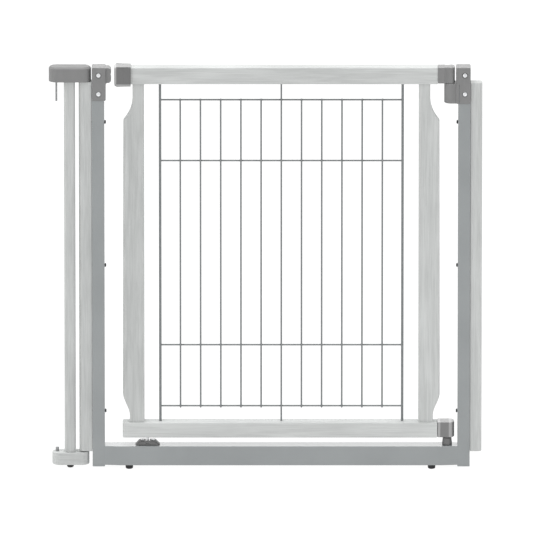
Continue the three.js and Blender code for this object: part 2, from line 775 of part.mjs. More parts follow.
function doorGroup() {
  const group = new THREE.Group();
  const upperPin = hingePin(knuckle.pinFoot, upperCap.bottom + upperCap.pinRise);
  const lowerPin = hingePin(bar.top + GAP + bush.floor + 1, lowerCap.bottom + lowerCap.pinRise);
  group.add(
    piece("top_rail", topRailWood(), wood()),
    piece("bottom_rail", bottomRailWood(), wood()),
    piece("left_stile", stileWood(stileInner.left, -1), wood()),
    piece("right_stile", stileWood(stileInner.right, 1), wood()),
    piece("wire_panel", wirePanel(), wirePaint()),
    piece("upper_hinge_cap", upperHingeCap(), resin()),
    piece("lower_hinge_cap", lowerHingeCap(), resin()),
    piece("stop_peg", stopPegPin(), zinc()),
    piece("upper_hinge_pin", upperPin, zinc(), hinge.x),
    piece("lower_hinge_pin", lowerPin, zinc(), hinge.x),
    piece("lock_sleeve", lockSleeve(), darkResin()),
    ...dowels(),
  );
  return group;
}

function linkGroup() {
  const group = new THREE.Group();
  group.add(
    piece("link_cap", linkCap(), resin()),
    piece("link_post", linkPostWood(), wood()),
    piece("link_block", linkBlock(), wood()),
    piece("link_foot", linkFoot(), rubber(), linkMiddle),
    piece("link_post_screw", linkPostScrew(), zinc(), linkMiddle),
    ...linkPins(),
  );
  return group;
}

const gate = new THREE.Group();
gate.add(frameGroup(), doorGroup(), linkGroup());

export default gate;
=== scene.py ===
import math

import bmesh
import bpy
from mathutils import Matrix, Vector


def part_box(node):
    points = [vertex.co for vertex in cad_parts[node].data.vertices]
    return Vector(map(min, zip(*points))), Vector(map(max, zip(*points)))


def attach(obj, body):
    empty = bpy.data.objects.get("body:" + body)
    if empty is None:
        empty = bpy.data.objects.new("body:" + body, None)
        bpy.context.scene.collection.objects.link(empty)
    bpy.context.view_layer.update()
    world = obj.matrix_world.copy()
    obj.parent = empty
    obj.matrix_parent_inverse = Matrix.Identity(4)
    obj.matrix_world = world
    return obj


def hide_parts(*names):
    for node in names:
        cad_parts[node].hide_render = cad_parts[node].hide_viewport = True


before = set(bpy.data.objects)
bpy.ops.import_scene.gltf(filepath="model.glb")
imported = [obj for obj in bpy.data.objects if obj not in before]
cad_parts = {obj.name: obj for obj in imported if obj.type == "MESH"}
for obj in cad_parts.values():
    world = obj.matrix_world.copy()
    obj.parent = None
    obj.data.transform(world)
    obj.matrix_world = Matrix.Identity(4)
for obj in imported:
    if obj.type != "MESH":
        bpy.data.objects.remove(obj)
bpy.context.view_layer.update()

MM = 0.001
GAP = 0.3 * MM  # between pieces that touch
TURN = 2 * math.pi
CREASE = math.radians(34)  # edges sharper than this stay sharp


# ---- camera, light and floor ----

VIEW_ELEVATION = math.radians(15.5)
VIEW_DISTANCE = 40.0
VIEW_WIDTH = 1.0447
VIEW_CENTRE = Vector((0.0018, 0.0, 0.4088))
SENSOR = 36.0


def add_camera():
    """A long lens a little above the gate, square to its front."""
    data = bpy.data.cameras.new("camera")
    data.sensor_width = SENSOR
    data.lens = SENSOR * VIEW_DISTANCE / VIEW_WIDTH
    data.clip_start = 5.0
    data.clip_end = 100.0
    camera = bpy.data.objects.new("camera", data)
    away = Vector((0.0, -math.cos(VIEW_ELEVATION), math.sin(VIEW_ELEVATION)))
    camera.location = VIEW_CENTRE + VIEW_DISTANCE * away
    camera.rotation_euler = (math.pi / 2 - VIEW_ELEVATION, 0.0, 0.0)
    bpy.context.scene.collection.objects.link(camera)
    bpy.context.scene.camera = camera


def add_sun(name, strength, softness, towards):
    """A broad soft light that shines along towards."""
    data = bpy.data.lights.new(name, "SUN")
    data.energy = strength
    data.angle = math.radians(softness)
    lamp = bpy.data.objects.new(name, data)
    lamp.rotation_euler = Vector(towards).to_track_quat("-Z", "Y").to_euler()
    bpy.context.scene.collection.objects.link(lamp)


def add_light():
    scene = bpy.context.scene
    scene.view_settings.view_transform = "Standard"
    world = bpy.data.worlds.new("studio")
    world.use_nodes = True
    background = world.node_tree.nodes["Background"]
    background.inputs["Color"].default_value = (1.0, 1.0, 1.0, 1.0)
    background.inputs["Strength"].default_value = 0.6
    scene.world = world
    add_sun("overhead_light", 2.25, 60, (0.05, 0.0, -1.0))
    add_sun("left_light", 1.3, 80, (1.0, 0.3, -0.22))
    add_sun("right_light", 0.8, 100, (-1.0, 0.25, -0.2))
    add_sun("back_light", 1.0, 60, (0.0, -1.0, -0.3))


# ---- shader expressions ----

class Signal:
    """A socket whose arithmetic adds Math nodes to its own tree."""

    def __init__(self, tree, socket):
        self.tree = tree
        self.socket = socket

    def math(self, operation, *values):
        node = self.tree.nodes.new("ShaderNodeMath")
        node.operation = operation
        for slot, value in zip(node.inputs, values):
            feed(self.tree, slot, value)
        return Signal(self.tree, node.outputs[0])

    def __add__(self, other):
        return self.math("ADD", self, other)

    def __radd__(self, other):
        return self.math("ADD", other, self)

    def __rsub__(self, other):
        return self.math("SUBTRACT", other, self)

    def __mul__(self, other):
        return self.math("MULTIPLY", self, other)

    def __rmul__(self, other):
        return self.math("MULTIPLY", other, self)


def feed(tree, slot, value):
    """Links a signal to a socket, or sets the socket's own value."""
    if isinstance(value, Signal):
        tree.links.new(value.socket, slot)
    else:
        slot.default_value = value


class Finish:
    """A material under construction."""

    def __init__(self, name, **constants):
        self.material = bpy.data.materials.new(name)
        self.material.use_nodes = True
        self.tree = self.material.node_tree
        self.shader = self.tree.nodes["Principled BSDF"]
        for socket, value in constants.items():
            self.shader.inputs[socket.replace("_", " ")].default_value = value

    def add(self, kind, settings=None, values=None, output=0):
        node = self.tree.nodes.new(kind)
        for key, value in (settings or {}).items():
            setattr(node, key, value)
        for key, value in (values or {}).items():
            feed(self.tree, node.inputs[key], value)
        return Signal(self.tree, node.outputs[output])

    def place(self, stretch=(1.0, 1.0, 1.0), shift=(0.0, 0.0, 0.0)):
        """Object coordinates in metres, stretched and shifted."""
        spot = self.add("ShaderNodeTexCoord", output="Object")
        return self.add(
            "ShaderNodeMapping", values={"Vector": spot, "Scale": stretch, "Location": shift}
        )

    def axis(self, index):
        """One of the object coordinates, in metres."""
        return self.add("ShaderNodeSeparateXYZ", values={"Vector": self.place()}, output=index)

    def noise(self, spot, scale, detail=3.0, roughness=0.5, distortion=0.0):
        values = {
            "Vector": spot,
            "Scale": scale,
            "Detail": detail,
            "Roughness": roughness,
            "Distortion": distortion,
        }
        return self.add("ShaderNodeTexNoise", values=values)

    def ramp(self, factor, low, high):
        """Factor taken from low..high to 0..1, smoothly and clamped."""
        return self.add(
            "ShaderNodeMapRange",
            {"interpolation_type": "SMOOTHSTEP"},
            {"Value": factor, "From Min": low, "From Max": high},
        )

    def mix(self, factor, first, second):
        """Two colours mixed by factor."""
        node = self.tree.nodes.new("ShaderNodeMix")
        node.data_type = "RGBA"
        for slot, value in ((0, factor), (6, first), (7, second)):
            feed(self.tree, node.inputs[slot], value)
        return Signal(self.tree, node.outputs[2])

    def colour(self, value):
        feed(self.tree, self.shader.inputs["Base Color"], value)

    def roughness(self, value):
        feed(self.tree, self.shader.inputs["Roughness"], value)

    def bump(self, height, depth, strength=1.0):
        normal = self.add(
            "ShaderNodeBump", values={"Height": height, "Distance": depth, "Strength": strength}
        )
        feed(self.tree, self.shader.inputs["Normal"], normal)


def grey(red, green, blue):
    """Linear colour of an sRGB triple from 0 to 255."""
    def linear(level):
        level = level / 255
        return level / 12.92 if level <= 0.04045 else ((level + 0.055) / 1.055) ** 2.4
    return (linear(red), linear(green), linear(blue), 1.0)


# ---- finishes ----

def whitewashed_wood(name, along, shift=0.0, pale=0):
    """Pale limed wood; along is the axis that the grain follows, pale lightens the board."""
    finish = Finish(name, Specular_IOR_Level=0.12)
    across = [1.0, 1.0, 1.0]
    across[along] = 0.03
    broad = [1.0, 1.0, 1.0]
    broad[along] = 0.1
    spot = finish.place(tuple(across), (shift, shift, shift))
    wide = finish.place(tuple(broad), (shift, 0.3 + shift, shift))
    figure = finish.noise(wide, 60.0, 4.0, 0.55, 0.8)
    streaks = finish.noise(spot, 460.0, 5.0, 0.6, 0.2)
    pores = finish.noise(spot, 1500.0, 2.0, 0.5)
    clouds = finish.noise(finish.place(), 9.0, 2.0)
    tone = 0.36 * figure + 0.44 * streaks + 0.2 * clouds
    low, high = 173 + pale, 194 + pale
    lime = finish.mix(finish.ramp(tone, 0.34, 0.66), grey(low, low + 2, low + 1),
                      grey(high, high + 2, high + 1))
    pore = finish.ramp(pores, 0.63, 0.76)
    finish.colour(finish.mix(pore * 0.35, lime, grey(low - 18, low - 16, low - 17)))
    finish.roughness(0.58 + 0.16 * streaks)
    finish.bump(streaks * 0.6 + pores * 0.4, 0.00012, 0.4)
    return finish.material


def satin_paint():
    """Grey powder coat with a faint orange peel."""
    finish = Finish("satin_paint", Coat_Weight=0.8, Coat_Roughness=0.15)
    spot = finish.place()
    peel = finish.noise(spot, 900.0, 2.0)
    cloud = finish.noise(spot, 11.0, 3.0)
    shade = finish.ramp(cloud, 0.3, 0.7)
    finish.colour(finish.mix(shade, grey(134, 138, 139), grey(140, 144, 145)))
    finish.roughness(0.3 + 0.1 * peel)
    finish.bump(peel, 0.00005, 0.3)
    return finish.material


def moulded_resin(name, dark, light, roughness=0.36, gloss=0.0, rims=(), highlight_tone=166):
    """Grey moulded plastic with a spark texture and flow marks, and painted highlights: paler bands
    at the rims that stand in for light caught on the bevels.
    """
    finish = Finish(name, Coat_Weight=gloss, Coat_Roughness=0.12)
    spark = finish.noise(finish.place(), 2600.0, 2.0, 0.6)
    flow = finish.noise(finish.place((1.0, 1.0, 0.35)), 55.0, 3.0, 0.5, 0.8)
    body = finish.mix(finish.ramp(flow, 0.3, 0.7), grey(*dark), grey(*light))
    # painted highlight: each rim band is a paler colour where a bevel would catch the light
    for axis, low, high in rims:
        along = finish.axis(axis)
        highlight_band = finish.ramp(along, low - 0.6 * MM, low + 0.6 * MM)
        highlight_band = highlight_band * (1.0 - finish.ramp(along, high - 0.6 * MM, high + 0.6 * MM))
        body = finish.mix(highlight_band, body, grey(highlight_tone, highlight_tone, highlight_tone))
    finish.colour(body)
    finish.roughness(roughness + 0.12 * spark)
    finish.bump(spark, 0.00004, 0.35)
    return finish.material


def black_rubber():
    finish = Finish("black_rubber", Specular_IOR_Level=0.3)
    spot = finish.place()
    grain = finish.noise(spot, 1800.0, 3.0, 0.6)
    dust = finish.noise(spot, 160.0, 3.0)
    finish.colour(finish.mix(finish.ramp(dust, 0.5, 0.8), grey(44, 44, 45), grey(66, 66, 67)))
    finish.roughness(0.62 + 0.2 * grain)
    finish.bump(grain, 0.00008, 0.4)
    return finish.material


def plated_steel(name, dark, light):
    """Metal with a drawn or turned surface."""
    finish = Finish(name, Metallic=1.0)
    spot = finish.place()
    brush = finish.noise(finish.place((1.0, 1.0, 12.0)), 500.0, 3.0)
    spangle = finish.noise(spot, 300.0, 2.0)
    finish.colour(finish.mix(finish.ramp(spangle, 0.35, 0.65), grey(*dark), grey(*light)))
    finish.roughness(0.24 + 0.14 * brush)
    finish.bump(brush, 0.00002, 0.3)
    return finish.material


def blackened_steel():
    finish = Finish("blackened_steel", Metallic=0.6)
    spot = finish.place()
    grain = finish.noise(spot, 900.0, 3.0)
    finish.colour(finish.mix(finish.ramp(grain, 0.35, 0.7), grey(46, 47, 48), grey(70, 71, 72)))
    finish.roughness(0.38 + 0.18 * grain)
    finish.bump(grain, 0.00004, 0.3)
    return finish.material


def coated_wire():
    """Grey coating over drawn wire."""
    finish = Finish("coated_wire", Coat_Weight=0.1)
    spot = finish.place()
    runs = finish.noise(spot, 240.0, 3.0)
    shade = finish.ramp(runs, 0.35, 0.65)
    finish.colour(finish.mix(shade, grey(112, 116, 117), grey(122, 125, 126)))
    finish.roughness(0.34 + 0.12 * runs)
    finish.bump(runs, 0.00004, 0.3)
    return finish.material


def white_floor():
    """A pale table lit from below, so that the contact shadows stay faint."""
    finish = Finish("white_floor", Specular_IOR_Level=0.0, Emission_Strength=0.95)
    finish.shader.inputs["Emission Color"].default_value = (1.0, 1.0, 1.0, 1.0)
    cloud = finish.noise(finish.place(), 3.0, 2.0)
    finish.colour(finish.mix(cloud, grey(88, 88, 88), grey(90, 90, 90)))
    finish.roughness(0.8 + 0.05 * cloud)
    return finish.material


# ---- shapes ----

def cuboid(low, high):
    shape = bmesh.new()
    made = bmesh.ops.create_cube(shape, size=1.0)["verts"]
    low, high = Vector(low), Vector(high)
    bmesh.ops.scale(shape, vec=high - low, verts=made)
    bmesh.ops.translate(shape, vec=(low + high) / 2, verts=made)
    return shape


def rounded(shape, edges, radius, segments=4):
    bmesh.ops.bevel(
        shape,
        geom=list(edges),
        offset=radius,
        offset_type="OFFSET",
        segments=segments,
        profile=0.5,
        affect="EDGES",
        clamp_overlap=True,
        material=-1,
    )
    return shape


def edges_along(shape, axis, keep=lambda middle: True):
    """Straight edges parallel to an axis whose middle passes keep."""
    found = []
    for edge in shape.edges:
        run = edge.verts[1].co - edge.verts[0].co
        middle = (edge.verts[0].co + edge.verts[1].co) / 2
        if run.length > 1e-7 and abs(run[axis]) / run.length > 0.999 and keep(middle):
            found.append(edge)
    return found


def sliced(shape, axis, level):
    """Adds a ring of edges where a plane square to an axis meets the shape."""
    across = [0, 0, 0]
    across[axis] = 1
    spot = [step * level for step in across]
    everything = shape.verts[:] + shape.edges[:] + shape.faces[:]
    bmesh.ops.bisect_plane(shape, geom=everything, dist=1e-7, plane_co=spot, plane_no=across)


def edges_in_plane(shape, axis, level):
    return [
        edge for edge in shape.edges
        if all(abs(vert.co[axis] - level) < 1e-6 for vert in edge.verts)
    ]


def end_rims(shape, axis):
    """The sharp outline of the two end faces along an axis."""
    levels = [vert.co[axis] for vert in shape.verts]
    return [
        edge
        for level in (min(levels), max(levels))
        for edge in edges_in_plane(shape, axis, level)
        if edge.calc_face_angle(0.0) > math.radians(60)
    ]


def rounded_bar(low, high, axis, long_radius, end_radius, segments=5):
    """A bar with rounded long edges and eased ends."""
    shape = cuboid(low, high)
    rounded(shape, edges_along(shape, axis), long_radius, segments)
    return rounded(shape, end_rims(shape, axis), end_radius, 3)


def oval(x0, x1, radius, z0, z1, segments=64):
    """An upright solid with a plan of two half circles joined by straight sides."""
    shape = bmesh.new()
    verts = bmesh.ops.create_circle(shape, cap_ends=True, radius=radius, segments=segments)["verts"]
    middle = (x0 + x1) / 2
    for vert in verts:
        side = 1 if vert.co.x > 0 else -1
        vert.co.x += side * ((x1 - x0) / 2 - radius)
    bmesh.ops.translate(shape, vec=(middle, 0, z0), verts=verts)
    raise_faces(shape, z1 - z0)
    return shape


def raise_faces(shape, height):
    grown = bmesh.ops.extrude_face_region(shape, geom=list(shape.faces))["geom"]
    verts = [item for item in grown if isinstance(item, bmesh.types.BMVert)]
    bmesh.ops.translate(shape, vec=(0, 0, height), verts=verts)
    bmesh.ops.recalc_face_normals(shape, faces=shape.faces)


def turned(profile, spot=(0, 0, 0), steps=32):
    """A piece turned about an upright line through spot; profile is (radius, height) in mm."""
    shape = bmesh.new()
    verts = [shape.verts.new((radius * MM, 0, height * MM)) for radius, height in profile]
    edges = [shape.edges.new(pair) for pair in zip(verts, verts[1:])]
    bmesh.ops.spin(
        shape,
        geom=verts + edges,
        cent=(0, 0, 0),
        axis=(0, 0, 1),
        angle=TURN,
        steps=steps,
        use_merge=True,
    )
    bmesh.ops.remove_doubles(shape, verts=shape.verts, dist=1e-7)
    bmesh.ops.recalc_face_normals(shape, faces=shape.faces)
    bmesh.ops.translate(shape, vec=spot, verts=shape.verts)
    return shape


def arc(centre, radius, start, end, steps=5):
    """Points of an arc for a turned profile, angles in degrees."""
    points = []
    for i in range(steps + 1):
        angle = math.radians(start + (end - start) * i / steps)
        points.append((centre[0] + radius * math.cos(angle), centre[1] + radius * math.sin(angle)))
    return points


def rod(radius, start, end, segments=32):
    """A round bar between two points, for cutting and joining."""
    start, end = Vector(start), Vector(end)
    run = end - start
    shape = bmesh.new()
    bmesh.ops.create_cone(
        shape, cap_ends=True, cap_tris=False, segments=segments,
        radius1=radius, radius2=radius, depth=run.length,
    )
    turn = Vector((0, 0, 1)).rotation_difference(run.normalized()).to_matrix()
    bmesh.ops.rotate(shape, cent=(0, 0, 0), matrix=turn, verts=shape.verts)
    bmesh.ops.translate(shape, vec=(start + end) / 2, verts=shape.verts)
    return shape


def add_piece(name, shape, material, body, node):
    """Turns a shape into an object that rides on a body and stands for a CAD node."""
    made = object_of(shape, name)
    made.data.shade_smooth()
    made.data.set_sharp_from_angle(angle=CREASE)
    made.data.materials.append(material)
    weigh = made.modifiers.new("even_normals", "WEIGHTED_NORMAL")
    weigh.keep_sharp = True
    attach(made, body)
    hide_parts(node)


def combined(first, others, operation="UNION"):
    """One mesh from a shape and others joined to it or cut from it."""
    base = object_of(first, "body")
    for shape in others:
        tool = object_of(shape, "tool")
        change = base.modifiers.new("change", "BOOLEAN")
        change.operation = operation
        change.solver = "EXACT"
        change.object = tool
        bpy.context.view_layer.update()
        view = bpy.context.evaluated_depsgraph_get()
        mesh = bpy.data.meshes.new_from_object(base.evaluated_get(view))
        base.modifiers.clear()
        base.data = mesh
        bpy.data.objects.remove(tool)
    shape = bmesh.new()
    shape.from_mesh(base.data)
    bpy.data.objects.remove(base)
    bmesh.ops.remove_doubles(shape, verts=shape.verts, dist=1e-6)
    return shape


def object_of(shape, name):
    mesh = bpy.data.meshes.new(name)
    shape.to_mesh(mesh)
    shape.free()
    made = bpy.data.objects.new(name, mesh)
    bpy.context.scene.collection.objects.link(made)
    return made


# ---- steel threshold frame ----

BAR_TAPER = 30 * MM  # where the bar narrows to meet the uprights


def build_steel_frame(paint, plug):
    low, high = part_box("base_bar")
    left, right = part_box("left_upright")[1].x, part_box("right_upright")[0].x
    bar = cuboid((left - MM, low.y, low.z), (right + MM, high.y, high.z))
    rounded(bar, edges_along(bar, 0), 1.4 * MM, 4)
    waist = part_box("left_upright")[1].y / high.y
    for x in (left + BAR_TAPER, right - BAR_TAPER):
        sliced(bar, 0, x)
    for vert in bar.verts:
        if vert.co.x < left + MM or vert.co.x > right - MM:
            vert.co.y *= waist
    add_piece("base_bar_tube", bar, paint, "frame", "base_bar")
    for side in ("left", "right"):
        low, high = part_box(f"{side}_upright")
        add_piece(f"{side}_upright_tube", rounded_bar(low, high, 2, 1.5 * MM, 0.3 * MM), paint,
                  "frame", f"{side}_upright")
        low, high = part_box(f"{side}_upright_plug")
        high.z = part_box(f"{side}_upright")[0].z
        add_piece(f"{side}_end_plug", rounded_bar(low, high, 2, 1.5 * MM, 0.6 * MM), plug,
                  "frame", f"{side}_upright_plug")


def build_posts(wood_left, wood_right):
    for side, outer, wood in (("left", 8.9, wood_left), ("right", 7.0, wood_right)):
        low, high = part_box(f"{side}_post")
        shape = cuboid(low, high)
        out = -1 if side == "left" else 1
        middle = (low.x + high.x) / 2
        outer_edges = edges_along(shape, 2, lambda m: (m.x - middle) * out > 0)
        rounded(shape, outer_edges, outer * MM, 8)
        inner_edges = edges_along(shape, 2, lambda m: (m.x - middle) * out < -8 * MM)
        rounded(shape, inner_edges, 0.8 * MM, 3)
        rounded(shape, end_rims(shape, 2), 0.8 * MM, 2)
        add_piece(f"{side}_post_wood", shape, wood, "frame", f"{side}_post")


# ---- screws and feet ----

def cross_recess(shape, top, reach, depth):
    """Sinks a four-armed driver recess in the flat crown of a screw head."""
    crown = [face for face in shape.faces if all(v.co.z > top - 1e-5 for v in face.verts)]
    if not crown:
        return
    bmesh.ops.inset_region(shape, faces=crown, thickness=0.1 * MM, depth=0)
    verts = {vert for face in crown for vert in face.verts}
    for vert in verts:
        angle = math.atan2(vert.co.y, vert.co.x)
        length = reach * (0.34 + 0.66 * abs(math.cos(2 * angle)) ** 3)
        if vert.co.xy.length > 1e-6:
            vert.co.x = length * math.cos(angle)
            vert.co.y = length * math.sin(angle)
    grown = bmesh.ops.extrude_face_region(shape, geom=crown)["geom"]
    sunk = [item for item in grown if isinstance(item, bmesh.types.BMVert)]
    bmesh.ops.delete(shape, geom=crown, context="FACES")
    bmesh.ops.scale(shape, vec=(0.55, 0.55, 1), verts=sunk)
    bmesh.ops.translate(shape, vec=(0, 0, -depth), verts=sunk)


def domed_screw(head_radius, head_height, shank_radius, length):
    """A domed screw with a driver recess, its seat at the origin and its head up."""
    flat = head_radius * 0.62
    crown = head_height * 0.96
    profile = [
        (0, -length),
        (shank_radius * 0.4, 0.6 - length),
        (shank_radius, 3 - length),
        (shank_radius, -0.05),
        (head_radius - 0.15, -0.05),
        (head_radius, 0.2),
        (head_radius * 0.985, head_height * 0.32),
        (head_radius * 0.92, head_height * 0.6),
        (head_radius * 0.8, head_height * 0.82),
        (flat, crown),
    ]
    shape = turned(profile, steps=40)
    rim = [edge for edge in shape.edges if edge.is_boundary]
    bmesh.ops.contextual_create(shape, geom=rim)
    cross_recess(shape, crown * MM, flat * 0.92 * MM, min(1.2, head_height) * MM)
    bmesh.ops.recalc_face_normals(shape, faces=shape.faces)
    return shape


def screw_in(node, material, direction, head_radius, head_height, shank_radius):
    """A screw in the place of a CAD screw; direction is where its head faces."""
    low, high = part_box(node)
    axis = max(range(3), key=lambda i: abs(direction[i]))
    middle = (low + high) / 2
    reach = high[axis] - low[axis]
    seat = middle.copy()
    outward = direction[axis]
    seat[axis] = (high[axis] if outward > 0 else low[axis]) - outward * head_height * MM
    shape = domed_screw(head_radius, head_height, shank_radius, reach / MM - head_height)
    turn = Vector((0, 0, 1)).rotation_difference(Vector(direction)).to_matrix()
    bmesh.ops.rotate(shape, cent=(0, 0, 0), matrix=turn, verts=shape.verts)
    bmesh.ops.translate(shape, vec=seat, verts=shape.verts)
    add_piece(f"{node}_head", shape, material, "frame", node)


def build_screws(zinc, black):
    for number in (1, 2, 3):
        screw_in(f"left_post_screw_{number}", black, (1, 0, 0), 3.9, 3.0, 2.0)
        screw_in(f"right_post_screw_{number}", black, (-1, 0, 0), 3.9, 3.0, 2.0)
    for side in ("left", "right"):
        for level in ("lower", "upper"):
            screw_in(f"{side}_bracket_screw_{level}", zinc, (0, -1, 0), 4.2, 1.2, 2.2)
        screw_in(f"door_stop_screw_{side}", zinc, (0, 0, 1), 3.4, 1.4, 2.0)


def build_feet(rubber):
    for node in ("foot_left_front", "foot_left_back", "foot_right_front", "foot_right_back"):
        low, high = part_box(node)
        middle = (low + high) / 2
        profile = [(0, 0), (4.4, 0), *arc((4.8, 2.5), 2.5, -90, -10, 6), (7.5, 4.6), (7.5, 7.2),
                   (7.2, 7.7), (2.5, 7.7), (2.5, 13.4), (0, 13.4)]
        add_piece(f"{node}_dome", turned(profile, (middle.x, middle.y, 0)), rubber,
                  "frame", node)
    low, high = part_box("link_foot")
    profile = [(0, 0), (2.8, 0), *arc((3.4, 3.3), 3.3, -90, -10, 6), (7.0, 5.6), (7.0, 7.3),
               (6.7, 7.7), (0, 7.7)]
    add_piece("link_foot_dome", turned(profile, ((low.x + high.x) / 2, 0, 0)), rubber,
              "link", "link_foot")


# ---- top brackets ----

def head_seats(side):
    """Round seats in a bracket's front, under the two screw heads."""
    seats = []
    for level in ("lower", "upper"):
        low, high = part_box(f"{side}_bracket_screw_{level}")
        x, z = (low.x + high.x) / 2, (low.z + high.z) / 2
        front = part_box(f"{side}_bracket")[0].y
        seats.append(rod(5.6 * MM, (x, front - 2 * MM, z), (x, front + 1.6 * MM, z)))
    return seats


def bracket_shell(low, high):
    shell = cuboid(low, high)
    rounded(shell, edges_along(shell, 1), 2.4 * MM, 4)
    return rounded(shell, end_rims(shell, 1), 1.4 * MM, 4)


CATCH_BOTTOM, CATCH_TOP = 784.1 * MM, 814.5 * MM
CATCH_DEPTH = 12.4 * MM
CATCH_FILLET = 3.0 * MM
HOLLOW_HEIGHT, HOLLOW_RADIUS = 798.8 * MM, 9.0 * MM


def build_left_bracket(resin):
    low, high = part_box("left_bracket")
    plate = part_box("left_upright")[1].x + 2.9 * MM
    tip = high.x
    depth = CATCH_DEPTH
    shell = bracket_shell(low, (plate, high.y, high.z))
    catch = cuboid((plate - 6 * MM, -depth, CATCH_BOTTOM), (tip, depth, CATCH_TOP))
    middle = (CATCH_BOTTOM + CATCH_TOP) / 2
    rounded(catch, edges_along(catch, 1, lambda m: m.x > plate and m.z > middle), 7.0 * MM, 6)
    rounded(catch, edges_along(catch, 1, lambda m: m.x > plate and m.z < middle), 6.0 * MM, 6)
    rounded(catch, end_rims(catch, 1), 1.2 * MM, 3)
    x = tip + 7.4 * MM
    hollow = rod(HOLLOW_RADIUS, (x, -0.02, HOLLOW_HEIGHT), (x, 0.02, HOLLOW_HEIGHT), 48)
    x, z = plate + CATCH_FILLET, CATCH_BOTTOM - CATCH_FILLET
    fillet = cuboid((plate - MM, -depth, z), (x, depth, CATCH_BOTTOM + 1.9 * MM))
    curve = rod(CATCH_FILLET, (x, -0.02, z), (x, 0.02, z))
    catch = combined(catch, [hollow], "DIFFERENCE")
    body = combined(combined(shell, [catch, combined(fillet, [curve], "DIFFERENCE")]),
                    head_seats("left"), "DIFFERENCE")
    add_piece("left_bracket_body", body, resin, "frame", "left_bracket")


KNUCKLE_RADIUS, KNUCKLE_TOP = 13.7 * MM, 783.0 * MM


def build_right_bracket(resin):
    low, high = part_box("right_bracket")
    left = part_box("right_upright")[0].x - 4.2 * MM
    shell = bracket_shell((left, low.y, low.z), high)
    knuckle = oval(low.x, left + 14 * MM, KNUCKLE_RADIUS, low.z, KNUCKLE_TOP, 64)
    rounded(knuckle, end_rims(knuckle, 2), 1.6 * MM, 4)
    seam = cuboid((left + 5.6 * MM, low.y - MM, 0.74), (left + 7.0 * MM, low.y + 2.4 * MM, 0.7815))
    body = combined(combined(shell, [knuckle]), [seam, *head_seats("right")], "DIFFERENCE")
    add_piece("right_bracket_body", body, resin, "frame", "right_bracket")


# ---- door stop, bush and pegs ----

GROOVE_FLOOR, GROOVE_HALF = 50.4 * MM, 3.9 * MM
FLUTE_PITCH, FLUTE_HALF = 5.4 * MM, 0.5 * MM


def build_door_stop(dark):
    """A sloping block with a groove for the door's peg and shallow flutes on its front."""
    low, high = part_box("door_stop")
    middle = (low.x + high.x) / 2
    wedge = cuboid(low, high)
    rounded(wedge, edges_along(wedge, 2), 7.0 * MM, 5)
    for vert in wedge.verts:
        if vert.co.z > high.z - MM:
            vert.co.x = middle + (vert.co.x - middle) * 0.71
    rounded(wedge, edges_in_plane(wedge, 2, high.z), 1.0 * MM, 3)
    groove = cuboid((middle - GROOVE_HALF, -0.02, GROOVE_FLOOR),
                    (middle + GROOVE_HALF, 0.02, 70 * MM))
    flutes = []
    for i in range(-3, 4):
        x = middle + i * FLUTE_PITCH
        start = (x - FLUTE_HALF, low.y - MM, low.z - MM)
        flutes.append(cuboid(start, (x + FLUTE_HALF, low.y + 0.5 * MM, 50 * MM)))
    shape = combined(wedge, [groove, *flutes], "DIFFERENCE")
    add_piece("door_stop_block", shape, dark, "frame", "door_stop")


def build_pivots(bush, steel, zinc):
    low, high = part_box("pivot_bush")
    middle = (low + high) / 2
    base, top = low.z / MM, high.z / MM
    profile = [(0, base + 3), (4.3, base + 3), (4.3, top - 0.4), (4.7, top), (7.6, top),
               (8.4, top - 0.4), (8.7, top - 1.2), (9.6, base + 4.4), (9.8, base + 3.2),
               (9.8, base + 0.9), (9.2, base), (0, base)]
    add_piece("pivot_bush_cone", turned(profile, (middle.x, 0, 0), 48), bush,
              "frame", "pivot_bush")
    for node, body in (("upper_hinge_pin", "hinge_pins"), ("lower_hinge_pin", "hinge_pins"),
                       ("stop_peg", "door"), ("link_free_pin", "link"), ("link_free_peg", "link"),
                       ("link_pivot_pin", "link"), ("link_pivot_peg", "link")):
        build_peg(node, body, zinc if node == "stop_peg" else steel)


def build_peg(node, body, steel):
    """A plain round pin with eased ends where the CAD pin stands."""
    low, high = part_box(node)
    middle = (low + high) / 2
    radius = (high.x - low.x) / 2 / MM
    ease = radius * 0.28
    bottom, top = low.z / MM, high.z / MM
    profile = [(0, bottom), (radius - ease, bottom),
               *arc((radius - ease, bottom + ease), ease, -90, 0, 4),
               *arc((radius - ease, top - ease), ease, 0, 90, 4), (0, top)]
    shape = turned(profile, (middle.x, middle.y, 0), 28)
    add_piece(f"{node}_round", shape, steel, body, node)


# ---- door ----

def build_rails(wood):
    low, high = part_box("top_rail")
    add_piece("top_rail_wood", rounded_bar(low, high, 0, 1.6 * MM, 1.0 * MM), wood,
              "door", "top_rail")
    low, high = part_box("bottom_rail")
    shape = cuboid(low, high)
    rounded(shape, edges_along(shape, 2, lambda m: m.x < 0), 4.2 * MM, 6)
    rims = [e for level in (low.z, high.z) for e in edges_in_plane(shape, 2, level)]
    rounded(shape, rims, 1.8 * MM, 4)
    add_piece("bottom_rail_wood", shape, wood, "door", "bottom_rail")


def smooth_step(value):
    value = min(max(value, 0.0), 1.0)
    return value * value * (3 - 2 * value)


STILE_FOOT, STILE_MIDDLE, STILE_HEAD = 28.8, 42.2, 22.4  # widths, mm
LOWER_NECK = (108.5, 46)  # where the neck starts and how tall it is, mm
UPPER_NECK = (704.5, 50)


def stile_width(height):
    """The stile's width at a height, both in mm: full in the middle, necked at both ends."""
    start, run = UPPER_NECK
    if height > start:
        rise = min((height - start) / run, 1.0)
        return STILE_MIDDLE - (STILE_MIDDLE - STILE_HEAD) * (1 - (1 - rise) ** 2.3)
    start, run = LOWER_NECK
    return STILE_FOOT + (STILE_MIDDLE - STILE_FOOT) * smooth_step((height - start) / run)


def levels(neck, steps):
    """Evenly spaced heights from the bottom of a neck to its top."""
    start, height = neck
    return [start + height * i / steps for i in range(steps + 1)]


